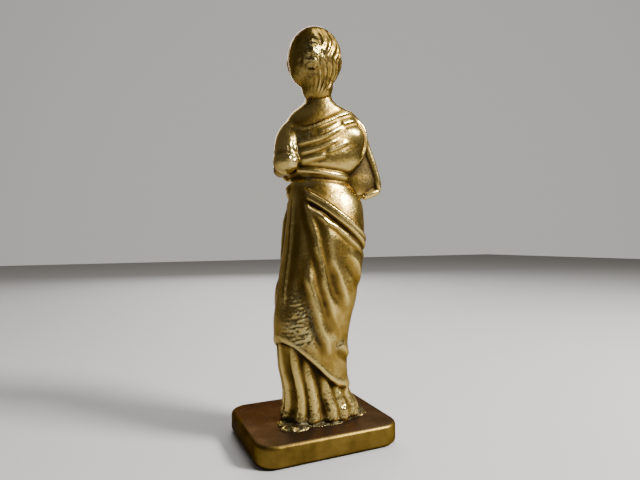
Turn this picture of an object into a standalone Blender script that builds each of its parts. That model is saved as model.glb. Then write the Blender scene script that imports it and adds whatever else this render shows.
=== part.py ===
"""Brass figurine of a draped woman on a rounded plinth, as the separate pieces it is put together from.

Metres, +Z up. The origin is the middle of the felt pad's underside. The figure faces -Y, and its left
hand is on the +X side. Every piece is one closed solid, and touching pieces keep GAP between them.
"""

import math

import bmesh
import bpy
from mathutils import Matrix, Vector

MM = 0.001

# Clearance between pieces that touch
GAP = 0.3 * MM

# Plinth and felt
BASE_WIDTH = 48.2 * MM
BASE_DEPTH = 39.8 * MM
BASE_SLAB = 6.8 * MM
BASE_CORNER_R = 6.5 * MM
BASE_EDGE_R = 1.2 * MM
FELT_THICKNESS = 1.0 * MM
FELT_PROUD = 0.4 * MM
FELT_INSET = 2.0 * MM

# Fixings under the plinth, to metric sizes
STUD_R = 1.5 * MM
STUD_IN_FIGURE = 14.0 * MM
NUT_ACROSS_FLATS = 5.5 * MM
NUT_HEIGHT = 2.4 * MM
WASHER_R = 3.5 * MM
WASHER_THICKNESS = 0.5 * MM
RECESS_MARGIN = 1.0 * MM
PIN_R = 1.0 * MM
PIN_IN_BASE = 3.0 * MM
PIN_IN_FIGURE = 4.0 * MM
PIN_OFFSET = 8.0 * MM

# The figure: where its axis stands on the plinth, and the lengths that stack up to its height
FIGURE_X = -2.5 * MM
FIGURE_Y = 1.5 * MM
SKIRT_LENGTH = 80.6 * MM
TORSO_LENGTH = 22.6 * MM
NECK_LENGTH = 6.0 * MM
HEAD_HEIGHT = 22.3 * MM
NECK_R = 4.9 * MM
NECK_IN_TORSO = 4.0 * MM
HEAD_TURN = math.radians(-22)

# Cast ground under the hem, feet in front of it, and the web of cloth inside the right arm
GROUND_WIDTH = 37.0 * MM
GROUND_DEPTH = 23.0 * MM
GROUND_HEIGHT = 2.4 * MM
GROUND_CORNER_R = 9.0 * MM
GROUND_EDGE_R = 0.9 * MM
GROUND_SHIFT = Vector((3.0 * MM, -0.5 * MM, 0.0))
FOOT_RADII = (2.4 * MM, 3.6 * MM, 1.8 * MM)
FOOT_FORWARD = 10.4 * MM
FOOT_RISE = 2.6 * MM
LEFT_FOOT_X = 5.2 * MM
RIGHT_FOOT_X = -4.6 * MM
WEB_RADII = (7.5 * MM, 3.4 * MM, 8.5 * MM)
WEB_SHIFT = Vector((-14.0 * MM, -1.0 * MM, 3.0 * MM))

# Hair bun: radii, how far behind the head's axis, and its share of the head's height
BUN_RADII = (3.2 * MM, 3.0 * MM, 4.8 * MM)
BUN_BACK = 10.2 * MM
BUN_LEVEL = 0.42

# Raised bands of the drape: radius of the roll, then its height above or below the waist at each side
GIRDLE_R = 1.3 * MM
MANTLE_ROLL_R = 1.7 * MM
MANTLE_ROLL_LEFT = -5.0 * MM
MANTLE_ROLL_RIGHT = -18.0 * MM
HEM_R = 0.9 * MM
HEM_LEFT = -59.0 * MM
HEM_RIGHT = -69.0 * MM

# Arms: radii, and how far each forearm's peg goes into its elbow
UPPER_ARM_R = 4.0 * MM
FOREARM_R = 3.3 * MM
WRIST_R = 2.0 * MM
FINGER_LENGTH = 2.2 * MM
PEG_R = 1.5 * MM
PEG_LENGTH = 3.0 * MM
PEG_SHOULDER = 0.05 * MM

RING_POINTS = 18
BAND_POINTS = 28

# Levels worked out from the sizes above
SLAB_BOTTOM = FELT_PROUD
NUT_BOTTOM = FELT_THICKNESS + GAP
SLAB_TOP = SLAB_BOTTOM + BASE_SLAB
FIGURE_BOTTOM = SLAB_TOP + GAP
WAIST_Z = FIGURE_BOTTOM + SKIRT_LENGTH
SHOULDER_Z = WAIST_Z + TORSO_LENGTH
CHIN_Z = SHOULDER_Z + NECK_LENGTH
FIGURE_AXIS = Vector((FIGURE_X, FIGURE_Y, 0.0))
HEAD_AXIS = FIGURE_AXIS + Vector((0.6 * MM, -0.6 * MM, 0.0))

BRASS = (0.60, 0.42, 0.12)
DARK_BRASS = (0.20, 0.13, 0.05)
STEEL = (0.55, 0.56, 0.58)
GREEN_FELT = (0.03, 0.11, 0.05)


def clear_scene():
    for obj in list(bpy.data.objects):
        bpy.data.objects.remove(obj, do_unlink=True)


def new_collection(name):
    collection = bpy.data.collections.new(name)
    bpy.context.scene.collection.children.link(collection)
    return collection


def material(name, colour, roughness, metallic):
    made = bpy.data.materials.new(name)
    made.use_nodes = True
    shader = made.node_tree.nodes["Principled BSDF"]
    shader.inputs["Base Color"].default_value = (*colour, 1.0)
    shader.inputs["Roughness"].default_value = roughness
    shader.inputs["Metallic"].default_value = metallic
    return made


clear_scene()
PARTS = new_collection("brass_figurine")
CUTTERS = new_collection("cutters")
CAST_BRASS = material("cast_brass", BRASS, 0.35, 1.0)
PATINA_BRASS = material("patina_brass", DARK_BRASS, 0.45, 1.0)
ZINC_STEEL = material("zinc_steel", STEEL, 0.4, 1.0)
FELT = material("green_felt", GREEN_FELT, 0.95, 0.0)


def part(name, mesh, finish):
    obj = bpy.data.objects.new(name, mesh)
    mesh.materials.append(finish)
    PARTS.objects.link(obj)
    return obj


def helper(name, mesh):
    """A shape that is only added to or cut from a part."""
    obj = bpy.data.objects.new(name, mesh)
    obj.hide_render = True
    obj.display_type = "WIRE"
    CUTTERS.objects.link(obj)
    return obj


def boolean(obj, other, operation):
    modifier = obj.modifiers.new(other.name, "BOOLEAN")
    modifier.operation = operation
    modifier.solver = "EXACT"
    modifier.object = other


def finished(name, bm):
    """The bmesh as a mesh, with its faces turned outwards."""
    bmesh.ops.recalc_face_normals(bm, faces=bm.faces)
    mesh = bpy.data.meshes.new(name)
    bm.to_mesh(mesh)
    bm.free()
    mesh.shade_smooth()
    mesh.set_sharp_from_angle(angle=math.radians(35))
    return mesh


def cylinder_mesh(name, radius, bottom, top, x=0.0, y=0.0, sides=24):
    bm = bmesh.new()
    bmesh.ops.create_cone(
        bm, cap_ends=True, segments=sides, radius1=radius, radius2=radius, depth=top - bottom
    )
    bmesh.ops.translate(bm, verts=bm.verts, vec=(x, y, (bottom + top) / 2))
    return finished(name, bm)


def ball_mesh(name, centre, radii):
    bm = bmesh.new()
    bmesh.ops.create_uvsphere(bm, u_segments=14, v_segments=8, radius=1.0)
    bmesh.ops.scale(bm, verts=bm.verts, vec=radii)
    bmesh.ops.translate(bm, verts=bm.verts, vec=centre)
    return finished(name, bm)


def rounded_slab(name, width, depth, bottom, thickness, corner_r, edge_r=0.0):
    """A block with round corners in plan and, with edge_r, softened edges all round."""
    bm = bmesh.new()
    bmesh.ops.create_cube(bm, size=1.0)
    bmesh.ops.scale(bm, verts=bm.verts, vec=(width, depth, thickness))
    bmesh.ops.translate(bm, verts=bm.verts, vec=(0, 0, bottom + thickness / 2))
    upright = [e for e in bm.edges if abs(e.verts[0].co.z - e.verts[1].co.z) > thickness / 2]
    bmesh.ops.bevel(
        bm, geom=upright, offset=corner_r, segments=6, profile=0.5, affect="EDGES", material=-1
    )
    if edge_r:
        rims = [e for e in bm.edges if abs(e.verts[0].co.z - e.verts[1].co.z) < thickness / 2]
        bmesh.ops.bevel(
            bm, geom=rims, offset=edge_r, segments=3, profile=0.5, affect="EDGES", material=-1
        )
    return finished(name, bm)


def squared_circle(angle, power=2.3):
    """A point on a unit circle that a power over 2 makes squarer."""
    across = math.copysign(abs(math.cos(angle)) ** (2 / power), math.cos(angle))
    along = math.copysign(abs(math.sin(angle)) ** (2 / power), math.sin(angle))
    return across, along


def ring(centre, half_width, front, back, turn=0.0, power=2.3):
    """Points round a level section, whose front and back halves may have different depths."""
    points = []
    for i in range(RING_POINTS):
        across, along = squared_circle(2 * math.pi * i / RING_POINTS, power)
        depth = back if along > 0 else front
        offset = Vector((half_width * across, depth * along, 0))
        points.append(Vector(centre) + Matrix.Rotation(turn, 3, "Z") @ offset)
    return points


def loft_mesh(name, rings):
    """A closed skin over level rings, from the lowest to the highest."""
    bm = bmesh.new()
    rows = [[bm.verts.new(point) for point in points] for points in rings]
    for lower, upper in zip(rows, rows[1:]):
        for i in range(RING_POINTS):
            j = (i + 1) % RING_POINTS
            bm.faces.new((lower[i], lower[j], upper[j], upper[i]))
    bm.faces.new(list(reversed(rows[0])))
    bm.faces.new(rows[-1])
    return finished(name, bm)


def tube_mesh(name, points, radii, endless=False):
    """A tapered round limb or an endless band along a few points, from a bevelled curve."""
    curve = bpy.data.curves.new(name, "CURVE")
    curve.dimensions = "3D"
    curve.bevel_depth = 1.0 * MM
    curve.bevel_resolution = 2
    curve.use_fill_caps = True
    spline = curve.splines.new("POLY")
    spline.use_cyclic_u = endless
    spline.points.add(len(points) - 1)
    for point, place, radius in zip(spline.points, points, radii):
        point.co = (*place, 1.0)
        point.radius = radius / MM
    guide = bpy.data.objects.new(name, curve)
    CUTTERS.objects.link(guide)
    bpy.context.view_layer.update()
    graph = bpy.context.evaluated_depsgraph_get()
    mesh = bpy.data.meshes.new_from_object(guide.evaluated_get(graph))
    bpy.data.objects.remove(guide)
    bm = bmesh.new()
    bm.from_mesh(mesh)
    bmesh.ops.remove_doubles(bm, verts=bm.verts, dist=0.01 * MM)
    return finished(name, bm)


def smooth(obj, levels):
    modifier = obj.modifiers.new("Smooth", "SUBSURF")
    modifier.levels = levels
    modifier.render_levels = levels


# ---- Plinth ----

def felt_mesh(name, grow=0.0):
    """The felt pad, or with grow the pocket that holds it."""
    return rounded_slab(
        name, BASE_WIDTH - 2 * FELT_INSET + 2 * grow, BASE_DEPTH - 2 * FELT_INSET + 2 * grow,
        -grow, FELT_THICKNESS + 2 * grow, BASE_CORNER_R - FELT_INSET + grow,
    )


def build_plinth():
    slab = rounded_slab(
        "base_plinth", BASE_WIDTH, BASE_DEPTH, SLAB_BOTTOM, BASE_SLAB, BASE_CORNER_R, BASE_EDGE_R
    )
    plinth = part("base_plinth", slab, PATINA_BRASS)
    pocket = felt_mesh("felt_pocket", GAP)
    boolean(plinth, helper("felt_pocket", pocket), "DIFFERENCE")
    recess_top = NUT_BOTTOM + NUT_HEIGHT + WASHER_THICKNESS + 2 * GAP
    cuts = (
        ("stud_hole_in_base", STUD_R + GAP, 0.0, SLAB_TOP + 1 * MM, FIGURE_X),
        ("nut_recess", WASHER_R + RECESS_MARGIN, 0.0, recess_top, FIGURE_X),
        ("pin_hole_in_base", PIN_R + GAP, SLAB_TOP - PIN_IN_BASE - GAP, SLAB_TOP + 1 * MM,
         FIGURE_X + PIN_OFFSET),
    )
    for name, radius, bottom, top, x in cuts:
        cutter = helper(name, cylinder_mesh(name, radius, bottom, top, x, FIGURE_Y))
        boolean(plinth, cutter, "DIFFERENCE")


def build_felt():
    part("felt_pad", felt_mesh("felt_pad"), FELT)


# ---- Fixings ----

def build_fixings():
    washer_bottom = NUT_BOTTOM + NUT_HEIGHT + GAP
    stud_top = FIGURE_BOTTOM + STUD_IN_FIGURE
    part("threaded_stud",
         cylinder_mesh("threaded_stud", STUD_R, NUT_BOTTOM, stud_top, FIGURE_X, FIGURE_Y),
         ZINC_STEEL)
    bore = helper(
        "fixing_bore",
        cylinder_mesh("fixing_bore", STUD_R + GAP, 0.0, stud_top, FIGURE_X, FIGURE_Y))
    washer = part(
        "flat_washer",
        cylinder_mesh("flat_washer", WASHER_R, washer_bottom, washer_bottom + WASHER_THICKNESS,
                      FIGURE_X, FIGURE_Y),
        ZINC_STEEL)
    boolean(washer, bore, "DIFFERENCE")
    corner_r = NUT_ACROSS_FLATS / 2 / math.cos(math.pi / 6)
    nut = part(
        "hex_nut",
        cylinder_mesh("hex_nut", corner_r, NUT_BOTTOM, NUT_BOTTOM + NUT_HEIGHT,
                      FIGURE_X, FIGURE_Y, sides=6),
        ZINC_STEEL)
    boolean(nut, bore, "DIFFERENCE")
    part("locating_pin",
         cylinder_mesh("locating_pin", PIN_R, SLAB_TOP - PIN_IN_BASE,
                       FIGURE_BOTTOM + PIN_IN_FIGURE, FIGURE_X + PIN_OFFSET, FIGURE_Y),
         CAST_BRASS)


# ---- Figure ----
# Sections of the robe: share of the length, shift from the figure's axis, half width, half depth (mm)

SKIRT_SECTIONS = (
    (0.00, -0.1, 0.0, 12.8, 10.8),
    (0.05, -0.2, 0.0, 12.8, 10.6),
    (0.12, 0.7, 0.0, 12.1, 10.0),
    (0.22, 1.9, -0.1, 12.5, 10.1),
    (0.30, 2.5, -0.3, 13.6, 10.5),
    (0.40, 2.3, -0.5, 14.2, 10.7),
    (0.55, 0.2, -0.5, 15.0, 11.0),
    (0.70, -1.9, -0.3, 15.6, 11.2),
    (0.80, -2.2, -0.5, 14.9, 10.7),
    (0.90, -1.7, -0.9, 13.2, 9.4),
    (1.00, 0.1, -1.2, 10.3, 7.9),
)
TORSO_SECTIONS = (
    (0.20, -0.5, -1.2, 12.8, 8.8),
    (0.45, -1.4, -1.0, 15.0, 9.0),
    (0.65, -1.6, -0.9, 15.6, 8.8),
    (0.85, -1.4, -0.7, 14.2, 7.6),
    (0.97, -0.9, -0.5, 10.8, 6.2),
    (1.05, -0.4, -0.4, 6.8, 5.2),
)
# Sections of the head: share of its height, half width, front depth, back depth (mm)
HEAD_SECTIONS = (
    (0.02, 5.0, 7.6, 5.2),
    (0.12, 6.6, 10.0, 6.6),
    (0.30, 8.3, 10.4, 9.4),
    (0.50, 9.3, 10.5, 11.2),
    (0.70, 9.1, 9.9, 10.8),
    (0.87, 6.8, 7.2, 8.0),
    (0.96, 3.8, 4.0, 4.4),
    (1.00, 1.6, 1.7, 1.8),
)


def robe_ring(section, bottom, length):
    share, x, y, half_width, half_depth = section
    centre = (FIGURE_X + x * MM, FIGURE_Y + y * MM, bottom + share * length)
    return ring(centre, half_width * MM, half_depth * MM, half_depth * MM)


def robe_section_at(z):
    """Centre and half sizes of the robe at one height, between the sections on either side of it."""
    known = [(FIGURE_BOTTOM + s[0] * SKIRT_LENGTH, s[1:]) for s in SKIRT_SECTIONS]
    known += [(WAIST_Z + s[0] * TORSO_LENGTH, s[1:]) for s in TORSO_SECTIONS]
    for (low, below), (high, above) in zip(known, known[1:]):
        if low <= z <= high:
            t = (z - low) / (high - low)
            return [(a + (b - a) * t) * MM for a, b in zip(below, above)]
    return [value * MM for value in known[0][1]]


def band_mesh(name, radius, left, right):
    """A roll of cloth round the robe; left and right are its heights above the waist at the two sides."""
    points = []
    for i in range(BAND_POINTS):
        angle = 2 * math.pi * i / BAND_POINTS
        z = WAIST_Z + (left + right) / 2 + (left - right) / 2 * math.cos(angle)
        x, y, half_width, half_depth = robe_section_at(z)
        across, along = squared_circle(angle)
        offset = Vector(((half_width - radius / 3) * across, (half_depth - radius / 3) * along, z))
        points.append(offset + Vector((FIGURE_X + x, FIGURE_Y + y, 0)))
    return tube_mesh(name, points, [radius] * BAND_POINTS, endless=True)


def head_mesh(name, grow=0.0):
    """Neck, which is also the spigot, and an egg-shaped head turned to the figure's right."""
    x, y, _ = HEAD_AXIS
    neck_bottom = SHOULDER_Z - NECK_IN_TORSO - grow
    neck = NECK_R + grow
    rings = [
        ring((x, y, z), neck, neck, neck, HEAD_TURN, power=2.0)
        for z in (neck_bottom, SHOULDER_Z, CHIN_Z - 1.5 * MM)
    ]
    for share, half_width, front, back in HEAD_SECTIONS:
        centre = (x, y, CHIN_Z + share * HEAD_HEIGHT)
        sizes = (half_width * MM + grow, front * MM + grow, back * MM + grow)
        rings.append(ring(centre, *sizes, HEAD_TURN, power=2.1))
    return loft_mesh(name, rings)


def build_head():
    head = part("head", head_mesh("head"), CAST_BRASS)
    smooth(head, 1)
    back = Matrix.Rotation(HEAD_TURN, 3, "Z") @ Vector((0, BUN_BACK, 0))
    level = CHIN_Z + BUN_LEVEL * HEAD_HEIGHT
    centre = HEAD_AXIS + Vector((0, 0, level)) + back
    bun = helper("hair_bun", ball_mesh("hair_bun", centre, BUN_RADII))
    boolean(head, bun, "UNION")


def arm_points(side):
    """Shoulder, mid-arm, elbow, mid-forearm, wrist and knuckles of one arm; side is +1 for the left."""
    if side > 0:
        elbow_z = WAIST_Z + 0.25 * TORSO_LENGTH
        return (
            Vector((FIGURE_X + 9.6 * MM, FIGURE_Y - 0.5 * MM, SHOULDER_Z - 5.0 * MM)),
            Vector((FIGURE_X + 12.0 * MM, FIGURE_Y + 1.5 * MM, elbow_z + 6.0 * MM)),
            Vector((FIGURE_X + 12.2 * MM, FIGURE_Y + 2.0 * MM, elbow_z)),
            Vector((FIGURE_X + 12.0 * MM, FIGURE_Y - 7.0 * MM, elbow_z - 1.5 * MM)),
            Vector((FIGURE_X + 8.6 * MM, FIGURE_Y - 14.0 * MM, elbow_z - 2.0 * MM)),
            Vector((FIGURE_X + 3.8 * MM, FIGURE_Y - 17.0 * MM, elbow_z - 1.5 * MM)),
        )
    elbow_z = WAIST_Z - 0.15 * TORSO_LENGTH
    return (
        Vector((FIGURE_X - 13.2 * MM, FIGURE_Y - 0.5 * MM, SHOULDER_Z - 4.6 * MM)),
        Vector((FIGURE_X - 17.8 * MM, FIGURE_Y - 0.8 * MM, elbow_z + 12.0 * MM)),
        Vector((FIGURE_X - 21.7 * MM, FIGURE_Y - 0.5 * MM, elbow_z + 1.0 * MM)),
        Vector((FIGURE_X - 18.2 * MM, FIGURE_Y - 8.5 * MM, elbow_z)),
        Vector((FIGURE_X - 10.5 * MM, FIGURE_Y - 14.5 * MM, elbow_z)),
        Vector((FIGURE_X - 4.5 * MM, FIGURE_Y - 16.5 * MM, elbow_z + 1.0 * MM)),
    )


def forearm_mesh(name, side, grow=0.0):
    """Peg, forearm and hand as one stepped limb, from the peg's tip in the elbow to the fingertips."""
    _, _, elbow, middle, wrist, knuckles = arm_points(side)
    along = (middle - elbow).normalized()
    face = elbow + along * (UPPER_ARM_R - grow)
    peg_tip = face - along * PEG_LENGTH
    peg_root = face - along * PEG_SHOULDER
    finger = knuckles + (knuckles - wrist).normalized() * FINGER_LENGTH
    points = (peg_tip, peg_root, face, middle, wrist, knuckles, finger)
    radii = (PEG_R, PEG_R, FOREARM_R, FOREARM_R, WRIST_R, WRIST_R, WRIST_R * 0.6)
    return tube_mesh(name, points, [radius + grow for radius in radii])


def upper_arm_mesh(name, side):
    shoulder, middle, elbow = arm_points(side)[:3]
    below = elbow - Vector((0, 0, 0.8 * UPPER_ARM_R))
    radii = (UPPER_ARM_R, UPPER_ARM_R, UPPER_ARM_R, UPPER_ARM_R * 0.6)
    return tube_mesh(name, (shoulder, middle, elbow, below), radii)


def build_robe():
    rings = [robe_ring(section, FIGURE_BOTTOM, SKIRT_LENGTH) for section in SKIRT_SECTIONS]
    rings += [robe_ring(section, WAIST_Z, TORSO_LENGTH) for section in TORSO_SECTIONS]
    robe = part("robe_body", loft_mesh("robe_body", rings), CAST_BRASS)
    smooth(robe, 1)

    for name, radius, left, right in (
        ("girdle", GIRDLE_R, 0.0, 0.0),
        ("mantle_roll", MANTLE_ROLL_R, MANTLE_ROLL_LEFT, MANTLE_ROLL_RIGHT),
        ("mantle_hem", HEM_R, HEM_LEFT, HEM_RIGHT),
    ):
        boolean(robe, helper(name, band_mesh(name, radius, left, right)), "UNION")
    for name, side in (("left_upper_arm", 1), ("right_upper_arm", -1)):
        boolean(robe, helper(name, upper_arm_mesh(name, side)), "UNION")
    web_centre = FIGURE_AXIS + WEB_SHIFT + Vector((0, 0, WAIST_Z))
    boolean(robe, helper("sleeve_web", ball_mesh("sleeve_web", web_centre, WEB_RADII)), "UNION")
    for name, x in (("right_foot", RIGHT_FOOT_X), ("left_foot", LEFT_FOOT_X)):
        centre = FIGURE_AXIS + Vector((x, -FOOT_FORWARD, FIGURE_BOTTOM + FOOT_RISE))
        boolean(robe, helper(name, ball_mesh(name, centre, FOOT_RADII)), "UNION")
    ground = rounded_slab("ground", GROUND_WIDTH, GROUND_DEPTH, FIGURE_BOTTOM, GROUND_HEIGHT,
                          GROUND_CORNER_R, GROUND_EDGE_R)
    ground.transform(Matrix.Translation(FIGURE_AXIS + GROUND_SHIFT))
    boolean(robe, helper("ground", ground), "UNION")

    bores = (
        ("stud_hole_in_figure", STUD_R + GAP, STUD_IN_FIGURE + GAP, 0.0),
        ("pin_hole_in_figure", PIN_R + GAP, PIN_IN_FIGURE + GAP, PIN_OFFSET),
    )
    for name, radius, depth, x in bores:
        bore = cylinder_mesh(name, radius, FIGURE_BOTTOM - 1 * MM, FIGURE_BOTTOM + depth,
                             FIGURE_X + x, FIGURE_Y)
        boolean(robe, helper(name, bore), "DIFFERENCE")
    neck_socket = helper("neck_socket", head_mesh("neck_socket", grow=GAP))
    smooth(neck_socket, 1)
    boolean(robe, neck_socket, "DIFFERENCE")
    for side, word in ((1, "left"), (-1, "right")):
        room = helper(f"{word}_forearm_room", forearm_mesh(f"{word}_forearm_room", side, grow=GAP))
        boolean(robe, room, "DIFFERENCE")


build_plinth()
build_felt()
build_fixings()
build_robe()
build_head()
part("left_forearm", forearm_mesh("left_forearm", 1), CAST_BRASS)
part("right_forearm", forearm_mesh("right_forearm", -1), CAST_BRASS)
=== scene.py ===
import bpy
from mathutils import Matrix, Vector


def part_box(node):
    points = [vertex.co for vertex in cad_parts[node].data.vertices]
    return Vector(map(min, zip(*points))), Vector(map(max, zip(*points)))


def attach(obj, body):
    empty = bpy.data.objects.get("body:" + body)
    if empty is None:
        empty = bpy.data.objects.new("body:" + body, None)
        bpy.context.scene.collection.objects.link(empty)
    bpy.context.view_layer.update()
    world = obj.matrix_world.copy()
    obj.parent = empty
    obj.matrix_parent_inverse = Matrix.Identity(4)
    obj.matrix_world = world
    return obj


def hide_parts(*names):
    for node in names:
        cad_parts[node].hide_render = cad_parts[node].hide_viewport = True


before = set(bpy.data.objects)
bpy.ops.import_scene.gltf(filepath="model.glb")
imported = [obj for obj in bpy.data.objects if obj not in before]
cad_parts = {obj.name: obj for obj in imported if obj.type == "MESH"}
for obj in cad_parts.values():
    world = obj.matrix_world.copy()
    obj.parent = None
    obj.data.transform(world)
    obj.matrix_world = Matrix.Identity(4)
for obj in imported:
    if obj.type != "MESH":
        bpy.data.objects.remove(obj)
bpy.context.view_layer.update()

import math

import bmesh
import bpy
import numpy as np
from mathutils import Matrix, Vector, noise


# ---- Plinth
# A rounded slab of cast brass. Its top is left dark with patina, its sides are rubbed to a satin, and its
# underside is milled for the felt, the nut and washer, the stud and the locating pin.

MM = 0.001
PLINTH_CORNER_R = 6.5 * MM
PLINTH_CORNER_STEPS = 14
PLINTH_EDGE_R = 1.3 * MM
PLINTH_EDGE_STEPS = 5
POCKET_CORNER_STEPS = 8
BORE_STEPS = 48
GAP = 0.3 * MM
WASHER_ROOM = 1.0 * MM
OVERSHOOT = 1.0 * MM
SHARP_ANGLE = math.radians(30)

PLINTH_TOP_BROWN = (0.045, 0.030, 0.017, 1.0)
PLINTH_TOP_WORN = (0.075, 0.050, 0.028, 1.0)
PLINTH_SIDE_GOLD = (0.170, 0.108, 0.022, 1.0)
PLINTH_SIDE_DULL = (0.095, 0.058, 0.010, 1.0)
PLINTH_EDGE_TINT = (0.30, 0.30, 0.32, 1.0)
PLINTH_ROUGHNESS = 0.26
PLINTH_GRAIN = 0.25
PATINA_DULLNESS = 0.12
PATINA_BASE = 6.4
BLACK = (0, 0, 0, 1)
WHITE = (1, 1, 1, 1)


def rounded_block(low, high, corner_r, corner_steps, edge_r=0.0, edge_steps=1):
    """A block between two corners, round in plan and, with edge_r, soft along its top and bottom rims."""
    bm = bmesh.new()
    bmesh.ops.create_cube(bm, size=1.0)
    bmesh.ops.scale(bm, verts=bm.verts, vec=high - low)
    bmesh.ops.translate(bm, verts=bm.verts, vec=(low + high) / 2)
    half = (high.z - low.z) / 2
    upright = [e for e in bm.edges if abs(e.verts[0].co.z - e.verts[1].co.z) > half]
    bmesh.ops.bevel(bm, geom=upright, offset=corner_r, segments=corner_steps, profile=0.5,
                    affect="EDGES", material=-1)
    if edge_r:
        rims = [e for e in bm.edges if abs(e.verts[0].co.z - e.verts[1].co.z) < half]
        bmesh.ops.bevel(bm, geom=rims, offset=edge_r, segments=edge_steps, profile=0.5,
                        affect="EDGES", material=-1)
    return bm


def object_from(bm, name):
    bmesh.ops.recalc_face_normals(bm, faces=bm.faces)
    mesh = bpy.data.meshes.new(name)
    bm.to_mesh(mesh)
    bm.free()
    obj = bpy.data.objects.new(name, mesh)
    bpy.context.scene.collection.objects.link(obj)
    return obj


def settle(obj):
    """Applies the object's modifiers."""
    graph = bpy.context.evaluated_depsgraph_get()
    obj.data = bpy.data.meshes.new_from_object(obj.evaluated_get(graph))
    obj.modifiers.clear()


def cut(obj, tool):
    modifier = obj.modifiers.new("cut", "BOOLEAN")
    modifier.operation = "DIFFERENCE"
    modifier.solver = "EXACT"
    modifier.object = tool
    settle(obj)
    bpy.data.objects.remove(tool)


def bore(node, clearance, top, bottom=-OVERSHOOT):
    """A round cutter about the axis of one of the fixings."""
    low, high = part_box(node)
    bm = bmesh.new()
    radius = (high.x - low.x) / 2 + clearance
    bmesh.ops.create_cone(bm, cap_ends=True, segments=BORE_STEPS, radius1=radius,
                          radius2=radius, depth=top - bottom)
    centre = ((low.x + high.x) / 2, (low.y + high.y) / 2, (top + bottom) / 2)
    bmesh.ops.translate(bm, verts=bm.verts, vec=centre)
    return object_from(bm, "bore")


class Nodes:
    """A material's node tree, built a node at a time."""

    def __init__(self, name):
        self.material = bpy.data.materials.new(name)
        self.material.use_nodes = True
        self.tree = self.material.node_tree
        self.shader = self.tree.nodes["Principled BSDF"]

    def add(self, kind, **settings):
        node = self.tree.nodes.new(kind)
        for key, value in settings.items():
            setattr(node, key, value)
        return node

    def link(self, source, target):
        self.tree.links.new(source, target)

    def noise(self, scale, detail=4.0, roughness=0.6):
        place = self.add("ShaderNodeTexCoord")
        made = self.add("ShaderNodeTexNoise")
        made.inputs["Scale"].default_value = scale
        made.inputs["Detail"].default_value = detail
        made.inputs["Roughness"].default_value = roughness
        self.link(place.outputs["Object"], made.inputs["Vector"])
        return made.outputs["Fac"]

    def ramp(self, factor, stops):
        made = self.add("ShaderNodeValToRGB")
        band = made.color_ramp
        band.elements[0].position, band.elements[0].color = stops[0]
        band.elements[1].position, band.elements[1].color = stops[-1]
        for position, colour in stops[1:-1]:
            band.elements.new(position).color = colour
        self.link(factor, made.inputs["Fac"])
        return made.outputs["Color"]

    def mix(self, factor, first, second):
        made = self.add("ShaderNodeMix", data_type="RGBA")
        self.link(factor, made.inputs[0])
        for value, socket in ((first, made.inputs[6]), (second, made.inputs[7])):
            if isinstance(value, tuple):
                socket.default_value = value
            else:
                self.link(value, socket)
        return made.outputs[2]

    def maths(self, operation, first, second):
        made = self.add("ShaderNodeMath", operation=operation)
        for value, socket in ((first, made.inputs[0]), (second, made.inputs[1])):
            if isinstance(value, (int, float)):
                socket.default_value = value
            else:
                self.link(value, socket)
        return made.outputs[0]

    def bump(self, height, strength, distance):
        made = self.add("ShaderNodeBump")
        made.inputs["Strength"].default_value = strength
        made.inputs["Distance"].default_value = distance
        self.link(height, made.inputs["Height"])
        self.link(made.outputs["Normal"], self.shader.inputs["Normal"])


def plinth_brass():
    """Satin sides, and a brown patina that fades in over the last 0.4 mm of the rounded top edge."""
    finish = Nodes("plinth_brass")
    place = finish.add("ShaderNodeTexCoord")
    parts = finish.add("ShaderNodeSeparateXYZ")
    finish.link(place.outputs["Object"], parts.inputs[0])
    mottle = finish.noise(150.0, 6.0)
    fine = finish.noise(1500.0, 6.0)
    waver = finish.maths("MULTIPLY", finish.maths("SUBTRACT", mottle, 0.5), 0.5)
    height = finish.maths("ADD", finish.maths("MULTIPLY", parts.outputs["Z"], 1 / MM), waver)
    top = finish.ramp(finish.maths("SUBTRACT", height, PATINA_BASE), ((0.40, BLACK), (0.78, WHITE)))
    clouds = finish.ramp(mottle, ((0.36, BLACK), (0.66, WHITE)))
    gold = finish.mix(clouds, PLINTH_SIDE_GOLD, PLINTH_SIDE_DULL)
    brown = finish.mix(clouds, PLINTH_TOP_BROWN, PLINTH_TOP_WORN)
    finish.link(finish.mix(top, gold, brown), finish.shader.inputs["Base Color"])
    finish.shader.inputs["Metallic"].default_value = 1.0
    finish.shader.inputs["Specular Tint"].default_value = PLINTH_EDGE_TINT
    rough = finish.maths("ADD", finish.maths("MULTIPLY", fine, PLINTH_GRAIN), PLINTH_ROUGHNESS)
    rough = finish.maths("ADD", rough, finish.maths("MULTIPLY", top, PATINA_DULLNESS))
    finish.link(rough, finish.shader.inputs["Roughness"])
    finish.bump(finish.maths("ADD", fine, finish.noise(420.0, 3.0)), 0.35, 0.00012)
    return finish.material


slab_low, slab_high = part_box("base_plinth")
slab = rounded_block(slab_low, slab_high, PLINTH_CORNER_R, PLINTH_CORNER_STEPS,
                     PLINTH_EDGE_R, PLINTH_EDGE_STEPS)
plinth = object_from(slab, "plinth")
felt_low, felt_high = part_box("felt_pad")
inset = PLINTH_CORNER_R - (slab_high.x - felt_high.x)
margin = Vector((GAP, GAP, GAP))
pocket = rounded_block(felt_low - margin, felt_high + margin, inset, POCKET_CORNER_STEPS)
cut(plinth, object_from(pocket, "pocket"))
washer_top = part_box("flat_washer")[1].z
cut(plinth, bore("flat_washer", WASHER_ROOM, washer_top + GAP))
cut(plinth, bore("threaded_stud", GAP, slab_high.z + OVERSHOOT))
cut(plinth, bore("locating_pin", GAP, slab_high.z + OVERSHOOT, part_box("locating_pin")[0].z - GAP))
plinth.data.shade_smooth()
plinth.data.set_sharp_from_angle(angle=SHARP_ANGLE)
plinth.data.materials.append(plinth_brass())
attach(plinth, "root")
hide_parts("base_plinth")


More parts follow.
